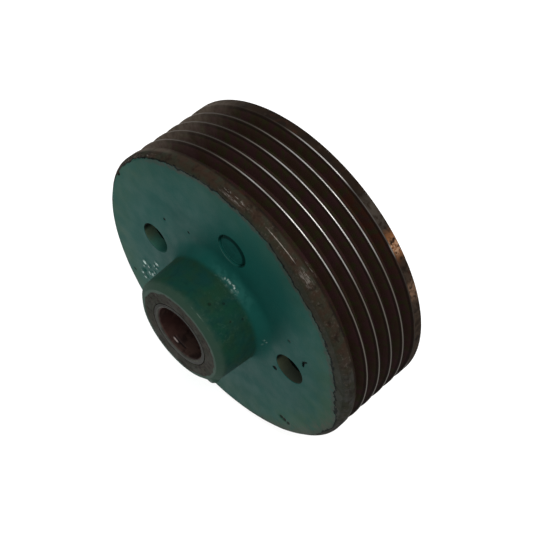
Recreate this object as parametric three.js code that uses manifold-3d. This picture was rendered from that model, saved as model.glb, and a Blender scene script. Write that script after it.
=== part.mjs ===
// A five-groove V-belt pulley that runs loose on a plain bearing sleeve.
//
// Frame: millimetres, +Z up. The pulley turns about the Y axis. The origin is on that axis, in the
// plane halfway across the rim. The long side of the hub points along -Y, which is called the front.
//
// The pulley is one iron casting: a grooved rim, a plain web flush with the front of the rim, and a
// hub that stands out in front and runs back to the rear face. Four holes go through the web. Two
// opposite ones are open, and the other two are closed by blanking plugs. A steel sleeve lines the
// bore, and the casting turns on it.

import * as THREE from 'three';
import { mergeVertices } from 'three/addons/utils/BufferGeometryUtils.js';
import Module from 'manifold-3d';

const manifoldLibrary = await Module();
manifoldLibrary.setup();
const { Manifold, Mesh: ManifoldMesh } = manifoldLibrary;

// ---- Driving dimensions ----

const ROUND_STEPS = 72;
const HOLE_STEPS = 32;
const FILLET_DIVISIONS = 2;
const GAP = 0.3;

const RIM = {
  radius: 150,
  width: 95,
  innerRadius: 124,
  draft: 2,
  frontChamfer: 4.2,
  backChamfer: 1,
  webFillet: 8,
};

const GROOVE = {
  count: 5,
  pitch: 15,
  firstFromFront: 18.5,
  topWidth: 13,
  depth: 12,
  angle: THREE.MathUtils.degToRad(38),
};

const WEB = { thickness: 16 };

const HUB = {
  frontLength: 50,
  faceRadius: 46.8,
  edgeRadius: 52.3,
  edgeLength: 4,
  rootRadius: 54.4,
  rootFillet: 12,
  backRadius: 51,
  backRootRadius: 54,
  backFillet: 8,
  boreChamfer: 0.6,
};

const SLEEVE = { innerRadius: 27, wall: 5, innerChamfer: 1.8, outerChamfer: 0.5 };

const WEB_HOLE = {
  radius: 15,
  circleRadius: 86.3,
  firstAngle: THREE.MathUtils.degToRad(79.4),
  count: 4,
};

const PLUG = { recess: 1.5, backRecess: 1, chamfer: 0.8 };

// ---- Places worked out from them ----

const rimFront = -RIM.width / 2;
const rimBack = RIM.width / 2;
const hubFront = rimFront - HUB.frontLength;
const hubBack = rimBack;
const webBack = rimFront + WEB.thickness;
const sleeveOuterRadius = SLEEVE.innerRadius + SLEEVE.wall;
const boreRadius = sleeveOuterRadius + GAP;

// ---- Materials ----

function material(color, roughness, metalness) {
  return new THREE.MeshStandardMaterial({ color, roughness, metalness });
}

const paintedIron = material(0x2f4d47, 0.55, 0.1);
const bareSteel = material(0x6c6660, 0.5, 0.8);

// ---- Shape helpers ----

// Turns a closed outline of (radius, y) points, anticlockwise with radius to the right, about Y.
function turned(outline, steps) {
  const points = outline.getPoints(FILLET_DIVISIONS);
  points.push(points[0].clone());
  return new THREE.LatheGeometry(points, steps);
}

function toManifold(geometry) {
  const bare = geometry.clone();
  bare.deleteAttribute('normal');
  bare.deleteAttribute('uv');
  const merged = mergeVertices(bare, 1e-4);
  return new Manifold(new ManifoldMesh({
    numProp: 3,
    vertProperties: merged.attributes.position.array,
    triVerts: new Uint32Array(merged.index.array),
  }));
}

function fromManifold(solid) {
  const result = solid.getMesh();
  const geometry = new THREE.BufferGeometry();
  geometry.setAttribute('position', new THREE.BufferAttribute(result.vertProperties, 3));
  geometry.setIndex(new THREE.BufferAttribute(result.triVerts, 1));
  geometry.computeVertexNormals();
  return geometry;
}

function namedMesh(name, geometry, meshMaterial) {
  const mesh = new THREE.Mesh(geometry, meshMaterial);
  mesh.name = name;
  return mesh;
}

// The centre of a web hole, on the axis plane of the rim's front face.
function webHoleCentre(index) {
  const angle = WEB_HOLE.firstAngle + index * 2 * Math.PI / WEB_HOLE.count;
  return new THREE.Vector3(
    WEB_HOLE.circleRadius * Math.cos(angle),
    rimFront,
    WEB_HOLE.circleRadius * Math.sin(angle),
  );
}

// ---- Pulley casting ----

// The front side, from the bore out to the rim: hub end, hub barrel, root fillet and web face.
function addFrontSide(outline) {
  const filletEnd = HUB.rootRadius + HUB.rootFillet;
  outline.moveTo(boreRadius, hubFront + HUB.boreChamfer);
  outline.lineTo(boreRadius + HUB.boreChamfer, hubFront);
  outline.lineTo(HUB.faceRadius, hubFront);
  outline.lineTo(HUB.edgeRadius, hubFront + HUB.edgeLength);
  outline.lineTo(HUB.rootRadius, rimFront - HUB.rootFillet);
  outline.absarc(filletEnd, rimFront - HUB.rootFillet, HUB.rootFillet, Math.PI, Math.PI / 2, true);
  outline.lineTo(RIM.radius - RIM.frontChamfer, rimFront);
  outline.lineTo(RIM.radius, rimFront + RIM.frontChamfer);
}

function addGrooves(outline) {
  const halfTop = GROOVE.topWidth / 2;
  const halfFloor = halfTop - GROOVE.depth * Math.tan(GROOVE.angle / 2);
  const floorRadius = RIM.radius - GROOVE.depth;
  for (let i = 0; i < GROOVE.count; i += 1) {
    const middle = rimFront + GROOVE.firstFromFront + i * GROOVE.pitch;
    outline.lineTo(RIM.radius, middle - halfTop);
    outline.lineTo(floorRadius, middle - halfFloor);
    outline.lineTo(floorRadius, middle + halfFloor);
    outline.lineTo(RIM.radius, middle + halfTop);
  }
}

// The back side, from the rim in to the bore: open back of the rim, web and rear barrel of the hub.
function addBackSide(outline) {
  const rimRoot = RIM.innerRadius - RIM.draft;
  const hubFilletEnd = HUB.backRootRadius + HUB.backFillet;
  outline.lineTo(RIM.radius, rimBack - RIM.backChamfer);
  outline.lineTo(RIM.radius - RIM.backChamfer, rimBack);
  outline.lineTo(RIM.innerRadius, rimBack);
  outline.lineTo(rimRoot, webBack + RIM.webFillet);
  outline.absarc(rimRoot - RIM.webFillet, webBack + RIM.webFillet, RIM.webFillet, 0, -Math.PI / 2, true);
  outline.lineTo(hubFilletEnd, webBack);
  outline.absarc(hubFilletEnd, webBack + HUB.backFillet, HUB.backFillet, -Math.PI / 2, -Math.PI, true);
  outline.lineTo(HUB.backRadius, hubBack);
  outline.lineTo(boreRadius + HUB.boreChamfer, hubBack);
  outline.lineTo(boreRadius, hubBack - HUB.boreChamfer);
}

function pulleyCasting() {
  const outline = new THREE.Path();
  addFrontSide(outline);
  addGrooves(outline);
  addBackSide(outline);
  let solid = toManifold(turned(outline, ROUND_STEPS));
  const drillLength = 2 * WEB.thickness;
  for (let i = 0; i < WEB_HOLE.count; i += 1) {
    const drill = new THREE.CylinderGeometry(WEB_HOLE.radius, WEB_HOLE.radius, drillLength, HOLE_STEPS);
    const centre = webHoleCentre(i);
    drill.translate(centre.x, rimFront + WEB.thickness / 2, centre.z);
    solid = solid.subtract(toManifold(drill));
  }
  return namedMesh('pulley_casting', fromManifold(solid), paintedIron);
}

// ---- Bearing sleeve ----

function bearingSleeve() {
  const { innerRadius, innerChamfer, outerChamfer } = SLEEVE;
  const outline = new THREE.Path();
  outline.moveTo(innerRadius, hubFront + innerChamfer);
  outline.lineTo(innerRadius + innerChamfer, hubFront);
  outline.lineTo(sleeveOuterRadius - outerChamfer, hubFront);
  outline.lineTo(sleeveOuterRadius, hubFront + outerChamfer);
  outline.lineTo(sleeveOuterRadius, hubBack - outerChamfer);
  outline.lineTo(sleeveOuterRadius - outerChamfer, hubBack);
  outline.lineTo(innerRadius + innerChamfer, hubBack);
  outline.lineTo(innerRadius, hubBack - innerChamfer);
  return namedMesh('bearing_sleeve', turned(outline, ROUND_STEPS), bareSteel);
}

// ---- Blanking plugs ----

function blankingPlug(name, holeIndex) {
  const radius = WEB_HOLE.radius - GAP;
  const front = PLUG.recess;
  const back = WEB.thickness - PLUG.backRecess;
  const outline = new THREE.Path();
  outline.moveTo(0, front);
  outline.lineTo(radius - PLUG.chamfer, front);
  outline.lineTo(radius, front + PLUG.chamfer);
  outline.lineTo(radius, back);
  outline.lineTo(0, back);
  const mesh = namedMesh(name, turned(outline, HOLE_STEPS), paintedIron);
  mesh.position.copy(webHoleCentre(holeIndex));
  return mesh;
}

// ---- Assembly ----

const pulley = new THREE.Group();
pulley.add(pulleyCasting());
pulley.add(bearingSleeve());
pulley.add(blankingPlug('upper_web_plug', 0));
pulley.add(blankingPlug('lower_web_plug', 2));

export default pulley;
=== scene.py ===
"""The looks of a five-groove V-belt pulley: worn teal paint on cast iron, with dark belt grooves.

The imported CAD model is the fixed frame. Each of its nodes is replaced by a finer mesh of the same
size. Lengths are metres. The pulley turns about Y, its long hub points along -Y (the front), and
angles about Y run from +X towards +Z.
"""

import math
import random

import bmesh
import bpy
import numpy as np
from mathutils import Matrix, Vector, noise


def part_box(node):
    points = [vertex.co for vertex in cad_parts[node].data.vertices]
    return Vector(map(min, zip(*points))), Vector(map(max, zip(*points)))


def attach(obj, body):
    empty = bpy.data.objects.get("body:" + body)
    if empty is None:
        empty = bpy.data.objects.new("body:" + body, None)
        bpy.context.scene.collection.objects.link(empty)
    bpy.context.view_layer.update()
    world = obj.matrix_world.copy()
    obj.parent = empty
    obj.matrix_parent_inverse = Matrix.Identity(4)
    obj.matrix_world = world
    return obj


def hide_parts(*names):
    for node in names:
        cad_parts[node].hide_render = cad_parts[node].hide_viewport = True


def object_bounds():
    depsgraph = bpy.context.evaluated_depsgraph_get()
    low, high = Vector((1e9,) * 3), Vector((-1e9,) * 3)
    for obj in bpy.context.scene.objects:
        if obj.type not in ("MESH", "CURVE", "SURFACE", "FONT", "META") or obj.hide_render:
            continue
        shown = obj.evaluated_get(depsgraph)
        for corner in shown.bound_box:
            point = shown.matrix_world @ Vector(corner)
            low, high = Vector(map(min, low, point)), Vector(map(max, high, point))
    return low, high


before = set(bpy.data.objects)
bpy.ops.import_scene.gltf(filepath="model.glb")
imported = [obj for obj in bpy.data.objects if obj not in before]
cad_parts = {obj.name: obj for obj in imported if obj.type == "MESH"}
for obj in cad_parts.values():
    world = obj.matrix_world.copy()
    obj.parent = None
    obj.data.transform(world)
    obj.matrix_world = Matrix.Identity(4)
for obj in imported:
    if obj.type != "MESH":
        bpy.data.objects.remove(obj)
cad_low, cad_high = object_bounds()

MM = 0.001

# ---- Sizes, the same as the CAD part's ----

RIM_RADIUS = cad_high.x
RIM_FRONT = -cad_high.y
RIM_BACK = cad_high.y
RIM_INNER_RADIUS = 124 * MM
RIM_INNER_ROOT = 121.8 * MM
RIM_CHAMFER = 4.2 * MM
BACK_CHAMFER = 1 * MM

GROOVE_COUNT = 5
GROOVE_PITCH = 15 * MM
GROOVE_FIRST = RIM_FRONT + 18.5 * MM
GROOVE_HALF_TOP = 6.5 * MM
GROOVE_DEPTH = 12 * MM
GROOVE_HALF_FLOOR = GROOVE_HALF_TOP - GROOVE_DEPTH * math.tan(math.radians(19))
FIRST_EDGE = GROOVE_FIRST - GROOVE_HALF_TOP
LAST_EDGE = GROOVE_FIRST + (GROOVE_COUNT - 1) * GROOVE_PITCH + GROOVE_HALF_TOP

WEB_BACK = RIM_FRONT + 16 * MM
WEB_HOLE_RADIUS = 15 * MM
WEB_HOLE_CIRCLE = 86.3 * MM
WEB_HOLE_ANGLES = [79.4 + 90 * i for i in range(4)]
PLUGGED_ANGLES = WEB_HOLE_ANGLES[::2]
OPEN_ANGLES = WEB_HOLE_ANGLES[1::2]

HUB_FRONT = cad_low.y
HUB_FACE_RADIUS = 46.8 * MM
HUB_EDGE_RADIUS = 52.3 * MM
HUB_EDGE_LENGTH = 4 * MM
HUB_ROOT_RADIUS = 55.1 * MM
HUB_ROOT_FILLET = 12 * MM
HUB_BACK_RADIUS = 51 * MM
HUB_BACK_ROOT = 54.3 * MM
BACK_FILLET = 8 * MM
BORE_RADIUS = 32.3 * MM
BORE_CHAMFER = 0.6 * MM

SLEEVE_RADIUS = 32 * MM
SLEEVE_BORE = 27 * MM
SLEEVE_CHAMFER = 1.8 * MM

PLUG_ROUNDING = 0.6 * MM

CASTING_STEPS = 240
SLEEVE_STEPS = 240
PLUG_STEPS = 96

# ---- Marks on the casting, found by (radius, angle) on the web or (depth, angle) elsewhere ----

# Radius, angle, half width and depth of the chips and pits in the paint of the web, and how bare
# each one is.
WEB_PITS = [
    (100.6, 3.1, 1.6, 0.8, 1.0),
    (100.7, 4.1, 1.6, 0.8, 1.0),
    (100.9, 5.1, 1.6, 0.8, 1.0),
    (101.1, 6.1, 1.6, 0.8, 1.0),
    (102.9, 6.9, 1.2, 0.7, 1.0),
    (104.8, 7.6, 1.2, 0.7, 1.0),
    (75.0, -25.8, 3.2, 0.8, 0.7),
    (86.6, 16.3, 2.6, 0.4, 0.35),
    (88.3, 142.0, 2.0, 0.6, 0.55),
    (73.4, 121.0, 1.7, 0.45, 0.55),
    (129.0, -53.4, 3.3, 0.7, 0.45),
    (131.8, -52.0, 3.8, 0.7, 0.5),
    (135.2, -50.6, 3.1, 0.6, 0.45),
    (136.7, 207.0, 2.4, 0.5, 0.4),
    (146.0, 152.6, 3.2, 0.9, 1.0),
]

# The patch of rough, glossy lumps in the paint of the web runs between two places, as (radius,
# angle).
LUMP_PATCH = [(90.0, 197.5), (124.0, 209.0)]
LUMP_COUNT = 12

# Distance in front of the web, angle, half width and height of the marks on the hub and its root.
# A nick has a negative height.
HUB_MARKS = [
    (32.0, 65.6, 2.2, -0.6),
    (26.0, 41.0, 1.7, -0.4),
    (22.0, 58.0, 2.0, -0.3),
    (15.0, 36.0, 1.8, -0.3),
    (7.0, 68.5, 2.1, 0.7),
    (6.8, 71.8, 1.9, 0.6),
    (6.4, 64.8, 1.8, 0.6),
    (7.4, 75.0, 1.6, 0.5),
    (5.0, -2.0, 1.6, 0.5),
    (4.0, 3.5, 1.4, 0.5),
    (2.6, 1.0, 1.2, 0.4),
]

# The painted shade round each plug is widest towards this angle, the side where the hole's near lip
# hides the corner, and the painted highlight on the lip lies opposite.
OCCLUDED_SIDE = 60

DRIP_ANGLE = -41
DRIP_HALF_ANGLE = 8
DRIP_HEIGHT = 2.2 * MM


# ---- Small helpers ----


def smoothstep(low, high, value):
    """From 0 at low to 1 at high, with flat ends."""
    t = min(max((value - low) / (high - low), 0.0), 1.0)
    return t * t * (3 - 2 * t)


def angle_between(a, b):
    """The difference of two angles in degrees, from -180 to 180."""
    return (a - b + 180) % 360 - 180


def around(radius, angle, y=0.0):
    """The point at a distance from the axis and at an angle about it."""
    a = math.radians(angle)
    return Vector((radius * math.cos(a), y, radius * math.sin(a)))


def lumpy(point, size, seed):
    """Smooth noise, about -1 to 1, that changes over a length of size."""
    return noise.noise(point / size + Vector((seed, seed * 0.7, -seed)))


# ---- Outlines and turned meshes ----


def rounded_outline(corners, arc_degrees):
    """A closed outline of (radius, y) points from corners of (radius, y, rounding, step).

    Each corner is rounded to its own radius, and the straight stretch after it is cut into pieces
    of about the length step.
    """
    places = [Vector((c[0], c[1])) for c in corners]
    outline = []
    ends = []
    for i, (_, _, rounding, _) in enumerate(corners):
        here, before, after = places[i], places[i - 1], places[(i + 1) % len(places)]
        to_before, to_after = (before - here).normalized(), (after - here).normalized()
        opening = to_before.angle(to_after)
        if rounding == 0 or opening > math.radians(179):
            ends.append([here])
            continue
        reach = rounding / math.tan(opening / 2)
        start, centre_way = here + to_before * reach, (to_before + to_after).normalized()
        centre = here + centre_way * (rounding / math.sin(opening / 2))
        first = start - centre
        turn = first.angle_signed(here + to_after * reach - centre)
        steps = max(2, math.ceil(math.degrees(abs(turn)) / arc_degrees))
        arc = []
        for k in range(steps + 1):
            a = -turn * k / steps
            arc.append(centre + Matrix.Rotation(a, 2) @ first)
        ends.append(arc)
    for i, (_, _, _, step) in enumerate(corners):
        outline.extend(ends[i])
        start, end = ends[i][-1], ends[(i + 1) % len(corners)][0]
        pieces = max(1, round((end - start).length / step))
        outline.extend(start.lerp(end, k / pieces) for k in range(1, pieces))
    return outline


def turned_mesh(name, outline, steps, closed=True):
    """Turns (radius, y) points about Y. An open outline starts and ends on the axis."""
    angles = np.linspace(0, 2 * math.pi, steps, endpoint=False)
    radii = np.array([p[0] for p in outline])
    depths = np.array([p[1] for p in outline])
    x = np.outer(np.cos(angles), radii)
    z = np.outer(np.sin(angles), radii)
    y = np.tile(depths, (steps, 1))
    points = np.stack([x, y, z], axis=-1).reshape(-1, 3)
    count = len(outline)
    faces = []
    for i in range(steps):
        here, there = i * count, (i + 1) % steps * count
        for j in range(count if closed else count - 1):
            k = (j + 1) % count
            faces.append((here + j, here + k, there + k, there + j))
    mesh = bpy.data.meshes.new(name)
    mesh.from_pydata(points.tolist(), [], faces)
    clean = bmesh.new()
    clean.from_mesh(mesh)
    bmesh.ops.remove_doubles(clean, verts=clean.verts, dist=1e-6)
    bmesh.ops.recalc_face_normals(clean, faces=clean.faces)
    clean.to_mesh(mesh)
    clean.free()
    return mesh


def new_object(name, mesh):
    obj = bpy.data.objects.new(name, mesh)
    bpy.context.scene.collection.objects.link(obj)
    return obj


def shade_smooth(mesh, sharp_degrees):
    mesh.shade_smooth()
    mesh.set_sharp_from_angle(angle=math.radians(sharp_degrees))


def subtract(obj, cutters):
    """Cuts the cutters out of obj and removes them."""
    for cutter in cutters:
        boolean = obj.modifiers.new("cut", "BOOLEAN")
        boolean.operation = "DIFFERENCE"
        boolean.solver = "EXACT"
        boolean.object = cutter
    evaluated = obj.evaluated_get(bpy.context.evaluated_depsgraph_get())
    cut_mesh = bpy.data.meshes.new_from_object(evaluated)
    obj.modifiers.clear()
    old_mesh = obj.data
    obj.data = cut_mesh
    bpy.data.meshes.remove(old_mesh)
    for cutter in cutters:
        bpy.data.meshes.remove(cutter.data)


# ---- The casting's mesh ----


def casting_corners():
    """The corners of the casting's section, as (radius, y, rounding, step)."""
    corners = [
        (BORE_RADIUS, HUB_FRONT + BORE_CHAMFER, 0, 1 * MM),
        (BORE_RADIUS + BORE_CHAMFER, HUB_FRONT, 0.2 * MM, 2 * MM),
        (HUB_FACE_RADIUS, HUB_FRONT, 1.2 * MM, 1.5 * MM),
        (HUB_EDGE_RADIUS, HUB_FRONT + HUB_EDGE_LENGTH, 1.8 * MM, 2.2 * MM),
        (HUB_ROOT_RADIUS, RIM_FRONT, HUB_ROOT_FILLET, 2 * MM),
        (RIM_RADIUS - RIM_CHAMFER, RIM_FRONT, 1.2 * MM, 1.3 * MM),
        (RIM_RADIUS, RIM_FRONT + RIM_CHAMFER, 0.6 * MM, 1.7 * MM),
    ]
    for i in range(GROOVE_COUNT):
        middle = GROOVE_FIRST + i * GROOVE_PITCH
        floor = RIM_RADIUS - GROOVE_DEPTH
        corners += [
            (RIM_RADIUS, middle - GROOVE_HALF_TOP, 0.5 * MM, 4 * MM),
            (floor, middle - GROOVE_HALF_FLOOR, 0.6 * MM, 4 * MM),
            (floor, middle + GROOVE_HALF_FLOOR, 0.6 * MM, 4 * MM),
            (RIM_RADIUS, middle + GROOVE_HALF_TOP, 0.8 * MM, 1.8 * MM),
        ]
    corners += [
        (RIM_RADIUS, RIM_BACK - BACK_CHAMFER, 0.4 * MM, 1.5 * MM),
        (RIM_RADIUS - BACK_CHAMFER, RIM_BACK, 0.4 * MM, 4 * MM),
        (RIM_INNER_RADIUS, RIM_BACK, 1 * MM, 6 * MM),
        (RIM_INNER_ROOT, WEB_BACK, BACK_FILLET, 5 * MM),
        (HUB_BACK_ROOT, WEB_BACK, BACK_FILLET, 6 * MM),
        (HUB_BACK_RADIUS, RIM_BACK, 1 * MM, 4 * MM),
        (BORE_RADIUS + BORE_CHAMFER, RIM_BACK, 0.2 * MM, 1 * MM),
        (BORE_RADIUS, RIM_BACK - BORE_CHAMFER, 0, 20 * MM),
    ]
    return corners


def web_hole_cutter(angle, plugged):
    """A drill whose flared front leaves a worn, rounded lip. A plugged hole is tight inside."""
    lip = 1.2 * MM
    back = WEB_BACK + 5 * MM
    outline = [(0, back), (WEB_HOLE_RADIUS, back)]
    if plugged:
        tight = WEB_HOLE_RADIUS - 0.28 * MM
        seat = RIM_FRONT + 6 * MM
        outline = [(0, back), (tight, back), (tight, seat), (WEB_HOLE_RADIUS, seat - 0.5 * MM)]
    for k in range(6):
        a = math.radians(14 * k)
        outline.append((
            WEB_HOLE_RADIUS + lip * (1 - math.cos(a)),
            RIM_FRONT + lip * (1 - math.sin(a)),
        ))
    outline += [(outline[-1][0] + 2 * MM, RIM_FRONT - 2 * MM), (0, RIM_FRONT - 2 * MM)]
    drill = new_object("drill", turned_mesh("drill", outline, 96, closed=False))
    drill.data.transform(Matrix.Translation(around(WEB_HOLE_CIRCLE, angle)))
    return drill


def hub_point(ahead, angle):
    """A point on the side of the hub or on the fillet at its root, ahead mm in front of the web."""
    below = max(0.0, HUB_ROOT_FILLET - ahead * MM)
    fillet = HUB_ROOT_FILLET - math.sqrt(HUB_ROOT_FILLET**2 - below**2)
    radius = HUB_ROOT_RADIUS - 0.06 * ahead * MM + fillet
    return around(radius, angle, RIM_FRONT - ahead * MM)


def casting_marks():
    """Each mark's place, half width, height, and how bare and how glossy it is, in metres."""
    marks = [
        (around(r * MM, a, RIM_FRONT), w * MM, -d * MM, bare, 0.0) for r, a, w, d, bare in WEB_PITS
    ]
    chance = random.Random(7)
    (first_radius, first_angle), (last_radius, last_angle) = LUMP_PATCH
    for i in range(LUMP_COUNT):
        share = (i + 0.5) / LUMP_COUNT
        radius = first_radius + (last_radius - first_radius) * share + chance.uniform(-5, 5)
        a = first_angle + (last_angle - first_angle) * share + chance.uniform(-4.2, 4.2)
        width, height = chance.uniform(2.4, 4.6) * MM, chance.uniform(0.7, 1.4) * MM
        marks.append((around(radius * MM, a, RIM_FRONT), width, height, 0.0, 1.0))
    for ahead, a, w, h in HUB_MARKS:
        marks.append((hub_point(ahead, a), w * MM, h * MM, 0.3 * (h < 0), 1.0 * (h > 0)))
    return marks


def refine_round(mesh, marks):
    """Cuts the faces near each mark finer, so that the mark has a shape of its own."""
    fine = bmesh.new()
    fine.from_mesh(mesh)
    for _ in range(2):
        near = set()
        for face in fine.faces:
            middle = face.calc_center_median()
            if any((middle - mark[0]).length < 1.6 * mark[1] + 1 * MM for mark in marks):
                near.update(face.edges)
        bmesh.ops.subdivide_edges(fine, edges=list(near), cuts=1, use_grid_fill=True)
    fine.to_mesh(mesh)
    fine.free()


def casting_offset(point, marks):
    """How far the surface stands out at a point, and how bare and how glossy the paint is there."""
    radius = math.hypot(point.x, point.z)
    angle = math.degrees(math.atan2(point.z, point.x))
    turned_rim = smoothstep(126 * MM, 128 * MM, radius) * smoothstep(
        RIM_FRONT + 1 * MM, RIM_FRONT + 2 * MM, point.y
    )
    turned_end = smoothstep(96.5 * MM, 97.2 * MM, abs(point.y)) + smoothstep(
        47 * MM, 47.3 * MM, point.y
    )
    bored = 1 - smoothstep(33 * MM, 34 * MM, radius)
    cast = max(0.0, 1 - turned_rim - turned_end - bored)
    offset = cast * 0.10 * MM * lumpy(point, 26 * MM, 3)
    offset += cast * 0.05 * MM * lumpy(point, 8 * MM, 7)
    offset += cast * 0.025 * MM * lumpy(point, 3.5 * MM, 11)

    crest = smoothstep(148.2 * MM, 149.6 * MM, radius)
    dent = max(0.0, lumpy(point, 7 * MM, 17) - 0.30)
    offset -= crest * 0.5 * MM * dent

    bare = gloss = 0.0
    for place, width, height, mark_bare, mark_gloss in marks:
        distance = (point - place).length
        if distance > 1.7 * width:
            continue
        ragged = distance * (1 + 0.35 * lumpy(point, 2.2 * MM, 23))
        share = 1 - smoothstep(0.45 * width, 1.05 * width, ragged)
        offset += height * share
        bare = max(bare, mark_bare * share)
        gloss = max(gloss, mark_gloss * share)

    along = abs(angle_between(angle, DRIP_ANGLE)) / DRIP_HALF_ANGLE
    on_edge = smoothstep(47.5 * MM, 50.5 * MM, radius) * (
        1 - smoothstep(HUB_FRONT + 5 * MM, HUB_FRONT + 9 * MM, point.y)
    )
    if along < 1:
        offset += DRIP_HEIGHT * on_edge * (1 - along * along) * (1 + 0.5 * lumpy(point, 4 * MM, 29))
    return offset, bare, gloss


def shape_casting(mesh):
    """Moves the casting's surface along its normals, within the CAD model's box."""
    marks = casting_marks()
    refine_round(mesh, marks)
    chips = mesh.attributes.new("chip", "FLOAT", "POINT")
    glosses = mesh.attributes.new("gloss", "FLOAT", "POINT")
    moved = []
    chip_values = []
    gloss_values = []
    for vertex in mesh.vertices:
        offset, bare, gloss = casting_offset(vertex.co, marks)
        point = vertex.co + vertex.normal * offset
        excess = math.hypot(point.x, point.z) / RIM_RADIUS
        if excess > 1:
            point.x /= excess
            point.z /= excess
        point.y = min(max(point.y, HUB_FRONT), RIM_BACK)
        moved.extend(point)
        chip_values.append(bare)
        gloss_values.append(gloss)
    mesh.vertices.foreach_set("co", moved)
    chips.data.foreach_set("value", chip_values)
    glosses.data.foreach_set("value", gloss_values)
    mesh.update()


def make_casting():
    outline = rounded_outline(casting_corners(), arc_degrees=14)
    casting = new_object("casting_skin", turned_mesh("casting_skin", outline, CASTING_STEPS))
    subtract(casting, [web_hole_cutter(a, a in PLUGGED_ANGLES) for a in WEB_HOLE_ANGLES])
    shape_casting(casting.data)
    shade_smooth(casting.data, 32)
    return casting


# ---- The sleeve and the plugs ----


def make_sleeve():
    """The sleeve, with a worn bore and a score mark round part of it near the front."""
    outline = rounded_outline(
        [
            (SLEEVE_BORE, HUB_FRONT + SLEEVE_CHAMFER, 0.5 * MM, 1.2 * MM),
            (SLEEVE_BORE + SLEEVE_CHAMFER, HUB_FRONT, 0.3 * MM, 1 * MM),
            (SLEEVE_RADIUS, HUB_FRONT, 0.5 * MM, 20 * MM),
            (SLEEVE_RADIUS, RIM_BACK, 0.5 * MM, 1 * MM),
            (SLEEVE_BORE + SLEEVE_CHAMFER, RIM_BACK, 0.3 * MM, 1.2 * MM),
            (SLEEVE_BORE, RIM_BACK - SLEEVE_CHAMFER, 0.5 * MM, 1.2 * MM),
        ],
        arc_degrees=20,
    )
    mesh = turned_mesh("sleeve_body", outline, SLEEVE_STEPS)
    moved = []
    for vertex in mesh.vertices:
        point = vertex.co.copy()
        radius = math.hypot(point.x, point.z)
        angle = math.degrees(math.atan2(point.z, point.x))
        depth = point.y - HUB_FRONT
        if radius < SLEEVE_BORE + 0.2 * MM:
            reach = 1 - smoothstep(14, 19, abs(angle_between(angle, -106)))
            score = reach * (1 - smoothstep(0.3 * MM, 1.2 * MM, abs(depth - 6.6 * MM)))
            burr = (1 - smoothstep(5, 9, abs(angle_between(angle, -115)))) * (
                1 - smoothstep(0.2 * MM, 1 * MM, abs(depth - 5.2 * MM))
            )
            wear = 0.04 * MM * lumpy(point, 6 * MM, 41)
            grown = 0.6 * MM * score - 0.35 * MM * burr + wear
            point.x *= 1 + grown / radius
            point.z *= 1 + grown / radius
        moved.extend(point)
    mesh.vertices.foreach_set("co", moved)
    mesh.update()
    shade_smooth(mesh, 35)
    return new_object("sleeve_body", mesh)


def make_plug(name, node, seed):
    """A blanking plug: a disc driven into its hole, with an uneven, brush-painted face."""
    low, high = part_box(node)
    centre = (Vector(low) + Vector(high)) / 2
    radius = (high[2] - low[2]) / 2
    thickness = high[1] - low[1]
    outline = [(radius * 0.92 * k / 9, -thickness / 2) for k in range(10)]
    for k in range(5):
        a = math.radians(22.5 * k)
        outline.append((
            radius - PLUG_ROUNDING * (1 - math.sin(a)),
            -thickness / 2 + PLUG_ROUNDING * (1 - math.cos(a)),
        ))
    outline += [(radius, thickness / 2 - 0.4 * MM), (radius - 0.4 * MM, thickness / 2)]
    outline.append((0, thickness / 2))
    mesh = turned_mesh(name, outline, PLUG_STEPS, closed=False)
    moved = []
    for vertex in mesh.vertices:
        point = vertex.co.copy()
        if point.y < -thickness / 2 + 1.2 * MM:
            point.y += 0.22 * MM * (1 + lumpy(point, 9 * MM, seed))
        moved.extend(point)
    mesh.vertices.foreach_set("co", moved)
    mesh.transform(Matrix.Translation(centre))
    mesh.update()
    shade_smooth(mesh, 40)
    return new_object(name, mesh)


# ---- Materials ----


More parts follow.
